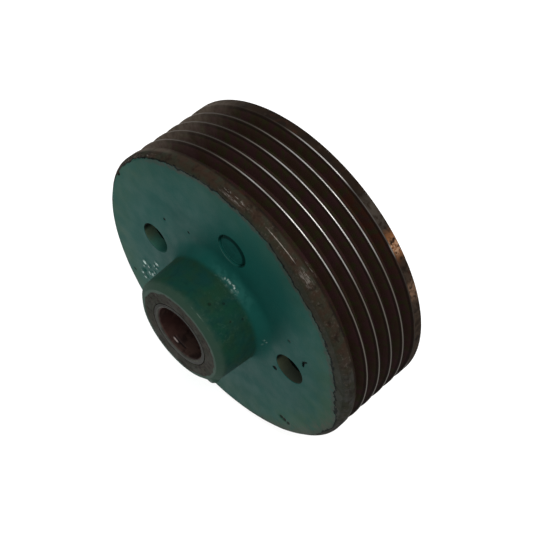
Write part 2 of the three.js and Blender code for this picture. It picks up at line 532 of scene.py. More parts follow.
class Surface:
    """A material's node tree with short names for the nodes that its masks are made of."""

    def __init__(self, name):
        self.material = bpy.data.materials.new(name)
        self.material.use_nodes = True
        self.tree = self.material.node_tree
        self.shader = self.tree.nodes["Principled BSDF"]
        self.place = self.tree.nodes.new("ShaderNodeTexCoord").outputs["Object"]
        parts = self.tree.nodes.new("ShaderNodeSeparateXYZ")
        self.tree.links.new(self.place, parts.inputs[0])
        self.x, self.y, self.z = parts.outputs
        square = self.plus(self.times(self.x, self.x), self.times(self.z, self.z))
        self.radius = self.math("SQRT", square)
        self.angle = self.times(self.math("ARCTAN2", self.z, self.x), 180 / math.pi)
        self.side = self.math("ABSOLUTE", self.angle)
        # Along the surface from the web over the chamfer onto the outside of the rim.
        self.path = self.plus(self.radius, self.most(self.minus(self.y, RIM_FRONT), 0.0))
        self.ahead = self.minus(RIM_FRONT, self.y)

    def put(self, socket, value):
        if isinstance(value, bpy.types.NodeSocket):
            self.tree.links.new(value, socket)
        elif isinstance(value, tuple):
            socket.default_value = (*value, 1)
        else:
            socket.default_value = value

    def math(self, operation, a, b=None):
        node = self.tree.nodes.new("ShaderNodeMath")
        node.operation = operation
        self.put(node.inputs[0], a)
        if b is not None:
            self.put(node.inputs[1], b)
        return node.outputs[0]

    def times(self, *values):
        result = values[0]
        for value in values[1:]:
            result = self.math("MULTIPLY", result, value)
        return result

    def plus(self, *values):
        result = values[0]
        for value in values[1:]:
            result = self.math("ADD", result, value)
        return result

    def minus(self, a, b):
        return self.math("SUBTRACT", a, b)

    def most(self, a, b):
        return self.math("MAXIMUM", a, b)

    def flip(self, value):
        return self.minus(1.0, value)

    def ramp(self, value, low, high, start=0.0, end=1.0):
        """Smoothly from start, where value is low or less, to end, where it is high or more."""
        node = self.tree.nodes.new("ShaderNodeMapRange")
        node.interpolation_type = "SMOOTHSTEP"
        for socket, given in zip(node.inputs[:5], (value, low, high, start, end), strict=True):
            self.put(socket, given)
        return node.outputs[0]

    def window(self, value, low, high, soft):
        """1 between low and high, and 0 beyond them."""
        return self.times(
            self.ramp(value, low - soft, low + soft),
            self.ramp(value, high - soft, high + soft, 1.0, 0.0),
        )

    def sector(self, start, end, soft):
        """1 between two angles about the axis."""
        return self.window(self.angle, start, end, soft)

    def vector(self, x, y, z):
        node = self.tree.nodes.new("ShaderNodeCombineXYZ")
        for socket, given in zip(node.inputs, (x, y, z), strict=True):
            self.put(socket, given)
        return node.outputs[0]

    def noise(self, size, detail=3.0, roughness=0.55, place=None, shift=0):
        """Noise from 0 to 1 that changes over a length of size, in millimetres."""
        node = self.tree.nodes.new("ShaderNodeTexNoise")
        node.noise_dimensions = "4D"
        self.put(node.inputs["Vector"], place or self.place)
        self.put(node.inputs["W"], shift)
        self.put(node.inputs["Scale"], 1 / (size * MM))
        self.put(node.inputs["Detail"], detail)
        self.put(node.inputs["Roughness"], roughness)
        return node.outputs["Fac"]

    def wander(self, amount, size, detail, roughness=0.55, shift=0):
        """Noise that strays by up to half of amount to either side of nothing."""
        return self.times(self.minus(self.noise(size, detail, roughness, shift=shift), 0.5), amount)

    def turning_marks(self, size, shift=0):
        """Fine rings round the axis, as a lathe tool leaves, fading in and out round the wheel."""
        along = self.vector(
            self.plus(self.radius, self.times(self.x, 0.012)),
            self.y,
            self.times(self.z, 0.012),
        )
        return self.noise(size, 2.0, 0.6, place=along, shift=shift)

    def mix(self, share, a, b, kind="RGBA"):
        node = self.tree.nodes.new("ShaderNodeMix")
        node.data_type = kind
        self.put(node.inputs["Factor"], share)
        self.put(node.inputs["A"], a)
        self.put(node.inputs["B"], b)
        return node.outputs["Result"]

    def blend(self, share, a, b):
        """The same as mix, for single numbers."""
        return self.mix(share, a, b, "FLOAT")

    def attribute(self, name):
        node = self.tree.nodes.new("ShaderNodeAttribute")
        node.attribute_name = name
        return node.outputs["Fac"]

    def bump(self, height, distance, strength=1.0, normal=None):
        node = self.tree.nodes.new("ShaderNodeBump")
        self.put(node.inputs["Height"], height)
        self.put(node.inputs["Distance"], distance)
        self.put(node.inputs["Strength"], strength)
        if normal is not None:
            self.put(node.inputs["Normal"], normal)
        return node.outputs["Normal"]

    def finish(self, colour, roughness, metallic, normal, specular=0.2):
        inputs = self.shader.inputs
        inputs["Specular IOR Level"].default_value = specular
        self.put(inputs["Base Color"], colour)
        self.put(inputs["Roughness"], roughness)
        self.put(inputs["Metallic"], metallic)
        self.put(inputs["Normal"], normal)
        return self.material


TEAL = (0.004, 0.088, 0.070)
TEAL_DEEP = (0.003, 0.064, 0.052)
TEAL_GREY = (0.020, 0.092, 0.078)
TEAL_GREEN = (0.024, 0.088, 0.046)
TEAL_OLIVE = (0.044, 0.098, 0.050)
TEAL_DARK = (0.000, 0.032, 0.026)
TEAL_LIGHT = (0.016, 0.120, 0.098)
TEAL_PALE = (0.080, 0.180, 0.150)
THIN_PAINT = (0.036, 0.056, 0.041)
WORN_PAINT = (0.058, 0.078, 0.052)
GLINT_PALE = (0.26, 0.36, 0.31)
WET_GLINT = (0.62, 0.76, 0.71)
HUB_GREEN = (0.005, 0.058, 0.032)
HUB_OLIVE = (0.014, 0.050, 0.022)
HUB_BLUE = (0.004, 0.050, 0.040)
HUB_SPECK = (0.036, 0.094, 0.062)
HUB_RIM = (0.034, 0.076, 0.050)
HUB_EDGE_HIGHLIGHT = (0.20, 0.27, 0.22)
HOLE_GREEN = (0.044, 0.150, 0.108)
HOLE_OLIVE = (0.082, 0.096, 0.054)
HOLE_BROWN = (0.040, 0.050, 0.034)
UNDERCOAT_AND_SHADE = (0.004, 0.009, 0.008)
IRON = (0.024, 0.013, 0.006)
IRON_DARK = (0.012, 0.007, 0.004)
IRON_PALE = (0.046, 0.032, 0.021)
IRON_SCUFF_AND_HIGHLIGHT = (0.34, 0.30, 0.26)
CREST_DULL = (0.22, 0.195, 0.165)
CREST_HIGHLIGHT = (0.70, 0.68, 0.64)
CREST_DARKER = (0.075, 0.062, 0.050)
GROOVE_BROWN = (0.034, 0.017, 0.009)
GROOVE_PURPLE = (0.042, 0.016, 0.016)
GROOVE_OLIVE = (0.030, 0.026, 0.008)
GROOVE_SHADE = (0.006, 0.003, 0.002)
DUST_AND_LIGHT = (0.240, 0.190, 0.144)
FRONT_BROWN = (0.046, 0.026, 0.015)
FRONT_OLIVE = (0.034, 0.036, 0.021)
FRONT_GREY = (0.058, 0.058, 0.052)
FRONT_GRAIN = (0.110, 0.088, 0.070)
RING_OLIVE = (0.020, 0.031, 0.018)
HUB_END = (0.032, 0.036, 0.024)
HUB_END_BROWN = (0.044, 0.039, 0.027)
RUST = (0.260, 0.104, 0.038)
RUST_PALE = (0.60, 0.38, 0.24)
RUST_TAN = (0.075, 0.050, 0.032)
RUST_BUFF = (0.27, 0.155, 0.092)
RUST_DARK = (0.050, 0.014, 0.006)
BACK_GREY = (0.088, 0.072, 0.056)
SLEEVE_END = (0.034, 0.034, 0.026)
SLEEVE_END_DARK = (0.020, 0.020, 0.015)
SLEEVE_MOUTH = (0.10, 0.10, 0.08)
BORE_BROWN = (0.084, 0.048, 0.037)
BORE_DARK = (0.034, 0.019, 0.016)
BORE_RED = (0.086, 0.034, 0.028)
BORE_BURR = (0.60, 0.50, 0.46)
BORE_SCORE = (0.012, 0.007, 0.006)
FLOOR_PALE = (0.80, 0.80, 0.79)
FLOOR_PALER = (0.84, 0.84, 0.835)


def web_hole_distance(s, angle, shift=0):
    """The distance from the axis of one web hole, or from a line shift nearer the lower left."""
    a, b = math.radians(angle), math.radians(OCCLUDED_SIDE)
    across = s.minus(s.x, WEB_HOLE_CIRCLE * math.cos(a) - shift * math.cos(b))
    up = s.minus(s.z, WEB_HOLE_CIRCLE * math.sin(a) - shift * math.sin(b))
    return s.math("SQRT", s.plus(s.times(across, across), s.times(up, up)))


def plug_painted_shade(s):
    """1 in the corner round each plug, where shade is painted, widest on the side towards
    OCCLUDED_SIDE.
    """
    gaps = []
    for angle in PLUGGED_ANGLES:
        crescent = s.ramp(web_hole_distance(s, angle, 5.6 * MM), 12.3 * MM, 14.5 * MM)
        near = s.ramp(web_hole_distance(s, angle), 15.9 * MM, 16.5 * MM, 1.0, 0.0)
        gaps.append(s.times(crescent, near))
    return s.plus(*gaps)


def plug_lip_highlight(s):
    """1 on the lip of each plugged hole, on the side that catches the light, where a highlight is
    painted.
    """
    lips = []
    for angle in PLUGGED_ANGLES:
        ring = s.window(web_hole_distance(s, angle), 15 * MM, 16.2 * MM, 0.3 * MM)
        lit = s.ramp(web_hole_distance(s, angle, -1.6 * MM), 17 * MM, 17.5 * MM)
        lips.append(s.times(ring, lit))
    return s.plus(*lips)


def brushed(s, shift):
    """The relief of brush strokes and grain in thick paint."""
    strokes = s.times(s.noise(3, 4, shift=shift), 0.7)
    return s.plus(strokes, s.times(s.noise(0.8, 2, shift=shift + 1), 0.3))


def paint_colour(s):
    """Teal brush paint: greener towards the rim, and mottled green, blue and olive on the hub."""
    colour = s.mix(s.ramp(s.noise(60, 3), 0.38, 0.68, 0.0, 0.6), TEAL, TEAL_DEEP)
    colour = s.mix(s.ramp(s.noise(34, 4, shift=2), 0.46, 0.74, 0.0, 0.22), colour, TEAL_GREY)
    lower_right = s.sector(-100, 30, 25)
    greener = s.times(
        s.ramp(s.radius, 96 * MM, 140 * MM), s.blend(lower_right, 0.3, 1.0),
        s.ramp(s.noise(24, 4, shift=3), 0.36, 0.60, 0.25, 0.9),
    )
    colour = s.mix(greener, colour, TEAL_GREEN)
    olive_side = s.times(
        s.ramp(s.radius, 110 * MM, 144 * MM), s.window(s.side, 138, 185, 14),
        s.ramp(s.noise(15, 4, shift=16), 0.34, 0.60, 0.3, 0.95),
    )
    colour = s.mix(olive_side, colour, TEAL_OLIVE)
    left = s.times(s.window(s.side, 142, 190, 16), s.ramp(s.radius, 60 * MM, 100 * MM))
    colour = s.mix(s.times(left, 0.4), colour, TEAL_LIGHT)
    colour = s.mix(s.sector(-96, -60, 12), colour, s.mix(0.45, colour, TEAL_DEEP))
    specks = s.ramp(s.noise(2.2, 2, shift=8), 0.68, 0.75, 0.0, 0.5)
    colour = s.mix(specks, colour, TEAL_DEEP)

    on_hub = s.ramp(s.y, RIM_FRONT - 7 * MM, RIM_FRONT - 13 * MM)
    colour = s.mix(on_hub, colour, hub_colour(s))
    # A painted highlight along the lit side of the fillet at the hub's root.
    lit_fillet = s.times(
        s.window(s.ahead, 1.5 * MM, 9 * MM, 2 * MM), s.ramp(s.radius, 66 * MM, 70 * MM, 1.0, 0.0),
        s.sector(40, 92, 12),
        s.ramp(s.noise(7, 4, shift=4), 0.40, 0.62, 0.05, 0.8),
    )
    colour = s.mix(lit_fillet, colour, TEAL_LIGHT)
    # Painted shade in the corner round each plug.
    colour = s.mix(s.times(plug_painted_shade(s), 0.85), colour, TEAL_DARK)
    # A painted highlight on the lit side of each plugged hole's lip.
    return s.mix(s.times(plug_lip_highlight(s), 0.7), colour, TEAL_PALE)


def hub_end_colour(s, marks):
    """The bare, mottled end of the hub."""
    colour = s.mix(s.ramp(s.noise(6, 5, 0.62, shift=46), 0.42, 0.60), HUB_END, HUB_END_BROWN)
    dark = s.ramp(s.noise(4, 4, 0.62, shift=47), 0.50, 0.62, 0.0, 0.8)
    colour = s.mix(dark, colour, IRON_DARK)
    return s.mix(s.ramp(marks, 0.4, 0.7, 0.0, 0.5), colour, IRON_DARK)


def hub_colour(s):
    """The greasy, handled paint on the hub, with pale specks and a painted highlight along its
    front edge.
    """
    colour = s.mix(s.ramp(s.noise(16, 3, shift=5), 0.36, 0.66), HUB_GREEN, HUB_BLUE)
    olive = s.ramp(s.noise(18, 3, shift=6), 0.40, 0.70, 0.0, 0.8)
    colour = s.mix(olive, colour, HUB_OLIVE)
    colour = s.mix(s.ramp(s.noise(6, 4, shift=7), 0.46, 0.74, 0.0, 0.5), colour, TEAL_DARK)
    handled = s.times(s.sector(20, 75, 12), s.ramp(s.noise(9, 3, shift=10), 0.40, 0.62))
    speck = s.times(s.ramp(s.noise(3.2, 5, 0.68, shift=9), 0.46, 0.66), handled)
    colour = s.mix(s.times(speck, 0.6), colour, HUB_SPECK)
    depth = s.minus(s.y, HUB_FRONT)
    worn = s.plus(depth, s.wander(9 * MM, 8, 4, shift=38))
    colour = s.mix(s.ramp(worn, 2 * MM, 10 * MM, 0.9, 0.0), colour, HUB_RIM)
    # A painted highlight along the hub's front edge, on its lit side.
    hub_edge_highlight = s.times(
        s.window(depth, 3.8 * MM, 4.3 * MM, 0.3 * MM), s.sector(44, 74, 5),
        s.ramp(s.noise(6, 4, shift=11), 0.40, 0.60),
    )
    return s.mix(s.times(hub_edge_highlight, 0.7), colour, HUB_EDGE_HIGHLIGHT)


def iron_colour(s, marks):
    """Bare turned iron: oily and brown, with darker rings, paler rubbed places and old rust."""
    iron = s.mix(s.ramp(s.noise(16, 4, shift=20), 0.35, 0.66), IRON, IRON_DARK)
    iron = s.mix(s.ramp(marks, 0.45, 0.75, 0.0, 0.45), iron, IRON_DARK)
    iron = s.mix(s.ramp(s.noise(7, 4, shift=21), 0.56, 0.74, 0.0, 0.6), iron, IRON_PALE)
    return s.mix(s.ramp(s.noise(12, 4, shift=22), 0.56, 0.70, 0.0, 0.5), iron, RUST_DARK)


def front_colour(s):
    """The worn front of the rim: brown and olive at the upper right, grey and olive below."""
    colour = s.mix(s.ramp(s.noise(9, 4, 0.6, shift=17), 0.38, 0.64), FRONT_BROWN, FRONT_OLIVE)
    grey = s.mix(s.ramp(s.noise(8, 4, 0.6, shift=19), 0.40, 0.62), FRONT_GREY, FRONT_OLIVE)
    colour = s.mix(s.ramp(s.angle, 26.0, 4.0), colour, grey)
    dark = s.ramp(s.noise(7, 5, 0.64, shift=24), 0.50, 0.66, 0.0, 0.75)
    colour = s.mix(dark, colour, IRON_DARK)
    patch = s.ramp(s.noise(16, 3, shift=48), 0.40, 0.60, 0.2, 0.8)
    grain = s.times(
        s.ramp(s.noise(1.9, 4, 0.66, shift=49), 0.52, 0.66), patch,
        s.sector(-45, 84, 12),
    )
    colour = s.mix(grain, colour, FRONT_GRAIN)
    on_face = s.ramp(s.path, 151 * MM, 145 * MM)
    return s.mix(s.times(on_face, 0.5), colour, RING_OLIVE)


def groove_colour(s):
    """The belt grooves: dark brown, purple and olive, with rust in the last one."""
    colour = s.mix(s.ramp(s.noise(12, 5, 0.62, shift=25), 0.42, 0.58), GROOVE_BROWN, GROOVE_PURPLE)
    colour = s.mix(s.ramp(s.noise(9, 5, 0.62, shift=26), 0.48, 0.62), colour, GROOVE_OLIVE)
    last_groove = s.ramp(s.y, 22 * MM, 25 * MM)
    patch = s.ramp(s.noise(9, 3, shift=27), 0.4, 0.6)
    red = s.times(last_groove, s.sector(36, 70, 12), patch)
    return s.mix(s.times(red, 0.8), colour, RUST_DARK)


def dust_and_light_side(s):
    """How thickly pale dust lies on the outside of the rim, round its left side; the pale colour is
    partly painted light where the key light reaches into the grooves.
    """
    patch = s.ramp(s.noise(5, 4, shift=29), 0.3, 0.6, 0.6, 1.0)
    ragged_side = s.plus(s.side, s.wander(22.0, 14, 4, shift=34))
    return s.times(s.window(ragged_side, 128.0, 225.0, 20.0), patch)


def crest_place(s):
    """The distance behind the middle of the nearest crest between two grooves."""
    along = s.minus(s.math("DIVIDE", s.minus(s.y, GROOVE_FIRST), GROOVE_PITCH), 0.5)
    return s.times(s.minus(along, s.math("ROUND", along)), GROOVE_PITCH)


def crest_colour(s):
    """The crests: a painted highlight, bright and more metallic, on the upper right, darker at the
    top, dull elsewhere.
    """
    patch = s.ramp(s.noise(22, 5, 0.62, shift=28), 0.32, 0.56)
    # A painted highlight on the upper right, where the crests catch the light.
    crest_highlight = s.times(s.sector(43, 88, 6), s.blend(patch, 0.45, 1.0))
    colour = s.mix(s.sector(98, 140, 6), CREST_DULL, CREST_DARKER)
    return s.mix(crest_highlight, colour, CREST_HIGHLIGHT), crest_highlight


def paint_edge(s):
    """How far beyond the ragged edge of the front's paint a point lies, towards the outside."""
    wander = s.plus(
        s.wander(8 * MM, 22, 3, shift=12),
        s.wander(9 * MM, 7, 5, 0.66, shift=13),
        s.wander(3.2 * MM, 2.6, 3, 0.6, shift=36),
    )
    rubbed = s.times(s.sector(-10, 62, 12), -10 * MM)
    part_rubbed = s.times(s.sector(64, 116, 14), -3.5 * MM)
    return s.minus(s.path, s.plus(146.6 * MM, rubbed, part_rubbed, wander))


def rust_and_tan(s, colour, outside):
    """Rust and rubbed tan patches on the land behind the last groove."""
    back_land = s.times(outside, s.ramp(s.y, LAST_EDGE + 0.6 * MM, LAST_EDGE + 1.4 * MM))
    patch = s.noise(5, 4, shift=30)
    fine = s.noise(2.2, 4, 0.65, shift=31)
    pale = s.times(back_land, s.sector(-14, 36, 9), s.ramp(patch, 0.36, 0.60))
    tan_spot = s.times(back_land, s.sector(21, 27, 2.5), s.ramp(fine, 0.36, 0.60))
    strong = s.times(back_land, s.sector(37.5, 46, 2.5), s.ramp(patch, 0.36, 0.52))
    pale_rust = s.times(strong, s.sector(38.5, 43, 2), s.ramp(fine, 0.44, 0.58))
    colour = s.mix(s.times(pale, 0.6), colour, RUST_TAN)
    greyed = s.times(back_land, s.sector(47, 59, 4), s.ramp(patch, 0.30, 0.60))
    colour = s.mix(s.times(greyed, 0.7), colour, BACK_GREY)
    colour = s.mix(s.times(tan_spot, 0.8), colour, RUST_BUFF)
    colour = s.mix(strong, colour, RUST)
    colour = s.mix(s.times(pale_rust, 0.85), colour, RUST_PALE)
    brown_specks = s.times(strong, s.ramp(s.noise(1.7, 4, shift=32), 0.56, 0.64))
    return s.mix(s.times(brown_specks, 0.8), colour, RUST_DARK)


def rim_scuffs_and_highlight(s, outside):
    """Bright scratches that run round the front of the rim, mostly along its worn front corner, and
    a painted highlight on that corner.
    """
    stretch = 4.5
    along = s.times(s.angle, RIM_RADIUS * math.pi / 180 / stretch)
    streak = s.noise(1.1, 5, 0.70, place=s.vector(along, s.path, 0.0), shift=33)
    corner_path = RIM_RADIUS + RIM_CHAMFER
    # The first spot, a thin bright line on the worn front corner, is also a painted highlight; the
    # others are rubbed places.
    spots = [
        (corner_path - 0.4 * MM, corner_path + 0.4 * MM, 0.25 * MM, 57.0, 69.0, 1.5, 0.34, 0.50),
        (corner_path - 1.2 * MM, corner_path + 1 * MM, 0.8 * MM, 78.0, 88.0, 3.0, 0.52, 0.60),
        (corner_path - 4 * MM, corner_path + 3 * MM, 1.5 * MM, 48.5, 53.5, 2.0, 0.46, 0.60),
        (corner_path - 5.6 * MM, corner_path - 3.2 * MM, 1.2 * MM, 81.0, 88.0, 3.0, 0.44, 0.60),
        (corner_path - 6 * MM, corner_path - 1 * MM, 1 * MM, 122.0, 148.0, 6.0, 0.52, 0.66),
    ]
    scuffs_and_highlight = 0.0
    for inner, outer, soft, start, end, fade, low, high in spots:
        place = s.times(s.window(s.path, inner, outer, soft), s.sector(start, end, fade))
        scuffs_and_highlight = s.most(scuffs_and_highlight, s.times(place, s.ramp(streak, low, high)))
    return s.times(outside, scuffs_and_highlight), streak


def open_holes(s):
    """1 on the wall of each open web hole, the left one first."""
    in_web = s.times(
        s.ramp(s.y, RIM_FRONT + 0.05 * MM, RIM_FRONT + 0.45 * MM),
        s.ramp(s.y, WEB_BACK - 0.6 * MM, WEB_BACK - 0.1 * MM, 1.0, 0.0),
    )
    return [
        s.times(s.ramp(web_hole_distance(s, a), 15.6 * MM, 16.1 * MM, 1.0, 0.0), in_web)
        for a in OPEN_ANGLES
    ]


def hole_colour(s, angle, base, low):
    """The wall of an open web hole, with painted shade deep down and towards its upper left end."""
    a, b = math.radians(angle), math.radians(150)
    along = s.plus(
        s.times(s.minus(s.x, WEB_HOLE_CIRCLE * math.cos(a)), math.cos(b)),
        s.times(s.minus(s.z, WEB_HOLE_CIRCLE * math.sin(a)), math.sin(b)),
    )
    patch = s.noise(5, 4, 0.62, shift=18)
    colour = s.mix(s.ramp(along, -3 * MM, -13 * MM, 0.0, 0.75), base, low)
    olive = s.ramp(s.plus(along, s.times(patch, 10 * MM)), 2 * MM, 14 * MM, 0.0, 0.75)
    colour = s.mix(olive, colour, HOLE_OLIVE)
    # Painted shade on the deep part of the wall and at its upper left end, where the lip keeps the
    # light out.
    end = s.ramp(along, 10.5 * MM, 14.5 * MM)
    deep = s.ramp(s.y, WEB_BACK - 4.9 * MM, WEB_BACK - 3.9 * MM)
    grime = s.times(s.most(end, deep), 0.9)
    return s.mix(grime, colour, UNDERCOAT_AND_SHADE), grime


def casting_material():
    s = Surface("casting_paint_and_iron")
    past_edge = paint_edge(s)
    inside = s.ramp(s.radius, 123.6 * MM, 124.2 * MM, 1.0, 0.0)
    outside = s.ramp(s.radius, 136 * MM, 137 * MM)
    left_hole, right_hole = open_holes(s)

    # Where the paint is whole.
    front_paint = s.ramp(past_edge, -0.25 * MM, 0.25 * MM, 1.0, 0.0)
    back_face = s.ramp(s.y, RIM_BACK - 0.9 * MM, RIM_BACK - 0.5 * MM)
    hub_wander = s.wander(7 * MM, 9, 5, 0.62, shift=15)
    hub_end = s.times(
        s.ramp(s.y, HUB_FRONT + 0.5 * MM, HUB_FRONT + 0.9 * MM, 1.0, 0.0),
        s.ramp(s.minus(s.radius, hub_wander), 43.2 * MM, 44.8 * MM, 1.0, 0.0),
    )
    bore = s.ramp(s.radius, 33 * MM, 33.2 * MM, 1.0, 0.0)
    whole_paint = s.times(
        s.most(inside, front_paint), s.flip(back_face), s.flip(hub_end), s.flip(bore),
        s.flip(left_hole), s.flip(right_hole),
    )
    chip = s.ramp(s.attribute("chip"), 0.12, 0.66)
    paint = s.times(whole_paint, s.flip(chip))

    # Bare iron, the grooves and their crests.
    marks = s.turning_marks(0.9)
    colour = iron_colour(s, marks)
    worn_front = s.times(s.flip(inside), s.ramp(s.y, RIM_FRONT + 11 * MM, RIM_FRONT + 9 * MM))
    colour = s.mix(s.times(worn_front, 0.85), colour, front_colour(s))
    near_top = s.ramp(s.radius, RIM_RADIUS - 1.1 * MM, RIM_RADIUS - 0.5 * MM)
    groove_soft = s.window(s.y, FIRST_EDGE, LAST_EDGE, 0.3 * MM)
    groove = s.times(outside, groove_soft, s.flip(near_top))
    colour = s.mix(groove, colour, groove_colour(s))
    place = crest_place(s)
    # The crest line on the first and last edges is mostly a painted highlight: on the first edge it
    # shows only in one sector, and on the last edge it is faint all round and brighter in a few
    # sectors.
    first_edge_highlight = s.times(s.sector(-48, -6, 10), 0.45)
    behind_first = s.blend(s.ramp(s.y, FIRST_EDGE + 2 * MM, FIRST_EDGE + 3 * MM), first_edge_highlight, 1.0)
    on_last = s.ramp(s.y, LAST_EDGE - 3 * MM, LAST_EDGE - 2 * MM)
    last_edge_highlight = s.plus(
        s.sector(67, 90, 5), s.sector(38.5, 42, 1.5),
        s.sector(-18, -12, 4), 0.15,
    )
    before_last = s.times(
        s.ramp(s.y, LAST_EDGE + 2 * MM, LAST_EDGE + 3 * MM, 1.0, 0.0),
        s.blend(on_last, 1.0, last_edge_highlight),
    )
    crest_front = s.window(place, -1 * MM, -0.12 * MM, 0.2 * MM)
    crest = s.times(outside, near_top, crest_front, behind_first, before_last)
    # The crest colour carries a painted highlight on the upper right.
    crest_paint, crest_highlight = crest_colour(s)
    colour = s.mix(crest, colour, crest_paint)
    # Painted shade on the back of each crest, behind its bright front.
    past_crest = s.window(place, 0.3 * MM, 1.2 * MM, 0.2 * MM)
    crest_back_shade = s.times(outside, near_top, past_crest, groove_soft)
    colour = s.mix(s.times(crest_back_shade, 0.8), colour, IRON_DARK)
    # Painted shade: a dark line in the groove just in front of each crest.
    crest_foot = s.times(groove, s.window(place, -1.9 * MM, -1.2 * MM, 0.25 * MM))
    colour = s.mix(s.times(crest_foot, 0.7), colour, GROOVE_SHADE)
    colour = rust_and_tan(s, colour, outside)
    # Pale dust round the left of the rim, partly painted light in the grooves.
    dust_and_light = s.times(outside, s.ramp(s.path, 155 * MM, 158 * MM), dust_and_light_side(s), 0.85)
    colour = s.mix(dust_and_light, colour, DUST_AND_LIGHT)
    colour = s.mix(hub_end, colour, hub_end_colour(s, marks))
    left_wall, left_painted_shade = hole_colour(s, OPEN_ANGLES[0], HOLE_GREEN, TEAL_DEEP)
    right_wall, right_painted_shade = hole_colour(s, OPEN_ANGLES[1], HOLE_BROWN, HOLE_BROWN)
    colour = s.mix(left_hole, colour, left_wall)
    colour = s.mix(right_hole, colour, right_wall)
    # Rubbed scuffs, and a painted highlight along the rim's front corner.
    scuffs_and_highlight, streak = rim_scuffs_and_highlight(s, outside)
    colour = s.mix(s.times(scuffs_and_highlight, 0.85), colour, IRON_SCUFF_AND_HIGHLIGHT)

    # The paint, thin near its worn edge, with a dark line of painted shade where it ends, and dark
    # chips.
    thin = s.times(
        s.ramp(past_edge, -6.5 * MM, -2 * MM), s.sector(-75, 128, 15), s.flip(inside),
        s.ramp(s.noise(4.5, 5, 0.62, shift=14), 0.34, 0.54, 0.25, 1.0),
    )
    low_wear = s.times(
        s.ramp(past_edge, -17 * MM, -3 * MM), s.sector(-64, -14, 9), s.flip(inside),
        s.ramp(s.noise(8, 5, 0.64, shift=44), 0.36, 0.58, 0.15, 0.9),
    )
    whole_colour = s.mix(low_wear, s.mix(thin, paint_colour(s), THIN_PAINT), WORN_PAINT)
    colour = s.mix(paint, colour, whole_colour)
    # Painted shade: a dark line along the raised edge of the paint.
    edge_shade_line = s.times(
        s.flip(inside), s.window(past_edge, -0.5 * MM, 1.6 * MM, 0.4 * MM),
        s.ramp(s.noise(6, 5, 0.64, shift=35), 0.36, 0.48),
    )
    colour = s.mix(s.times(edge_shade_line, 0.85), colour, UNDERCOAT_AND_SHADE)
    chipped = s.times(whole_paint, chip)
    colour = s.mix(chipped, colour, UNDERCOAT_AND_SHADE)
    hollow = s.times(s.ramp(s.y, WEB_BACK - 2 * MM, WEB_BACK), inside)
    grime = s.times(hollow, s.ramp(s.noise(20, 4, shift=37), 0.3, 0.7, 0.25, 0.8))
    colour = s.mix(grime, colour, IRON_DARK)

    # Gloss: rough paint and iron, a wet-looking fillet and lumps, and shiny crests. The lumps are
    # paler, and the glints on them and along the fillet are painted highlights.
    hub_root = s.window(s.radius, 50 * MM, 65 * MM, 2 * MM)
    glossy_fillet = s.times(
        s.window(s.ahead, 7 * MM, 11 * MM, 1.5 * MM), hub_root, s.sector(55, 84, 8),
        s.ramp(s.noise(5, 4, 0.62, shift=39), 0.40, 0.62, 0.0, 0.8),
    )
    gloss = s.most(s.attribute("gloss"), glossy_fillet)
    paint_gloss = s.blend(gloss, s.ramp(s.noise(15, 4, shift=40), 0.3, 0.7, 0.64, 0.74), 0.30)
    # Painted highlights: pale glints on the glossy lumps and fillet.
    glint = s.times(gloss, s.ramp(s.noise(3.4, 4, shift=42), 0.46, 0.64))
    colour = s.mix(s.times(s.attribute("gloss"), paint, 0.35), colour, TEAL_PALE)
    colour = s.mix(s.times(glint, 0.5), colour, GLINT_PALE)
    # A painted highlight: a bright streak along the fillet.
    fillet_glint_line = s.times(
        s.window(s.ahead, 5.9 * MM, 7.3 * MM, 0.7 * MM), hub_root, s.sector(59.5, 74, 3),
        s.ramp(s.noise(3.4, 3, 0.6, shift=43), 0.44, 0.60),
    )
    colour = s.mix(s.times(fillet_glint_line, 0.9), colour, WET_GLINT)
    iron_gloss = s.ramp(s.noise(9, 4, shift=41), 0.3, 0.7, 0.74, 0.90)
    roughness = s.blend(paint, iron_gloss, paint_gloss)
    roughness = s.blend(crest, roughness, 0.34)
    roughness = s.blend(s.times(scuffs_and_highlight, 0.7), roughness, 0.42)
    metallic = s.blend(scuffs_and_highlight, s.times(glint, 0.35), 0.7)
    metallic = s.times(s.blend(crest, metallic, s.blend(crest_highlight, 0.6, 1.0)), s.flip(dust_and_light))
    # Dark hollows and cracks have no sheen, and metallic black has none: so the chips and the
    # painted shade along the paint's edge, in the open holes and round the plugs are made metallic.
    dull_places = [
        chipped, s.times(edge_shade_line, 0.8), s.times(left_hole, left_painted_shade),
        s.times(right_hole, right_painted_shade), s.times(plug_painted_shade(s), 0.8),
    ]
    for dull in dull_places:
        metallic = s.most(metallic, dull)

    # Relief: brush strokes in the paint, tool marks in the iron, and a step at the paint's edge.
    relief = s.bump(s.times(brushed(s, 45), paint), 0.35 * MM, 0.6)
    relief = s.bump(s.times(marks, s.flip(paint)), 0.10 * MM, 0.7, relief)
    relief = s.bump(s.times(streak, s.flip(paint)), 0.12 * MM, 0.6, relief)
    relief = s.bump(whole_paint, 0.14 * MM, 1.0, relief)
    return s.finish(colour, roughness, metallic, relief, specular=0.14)


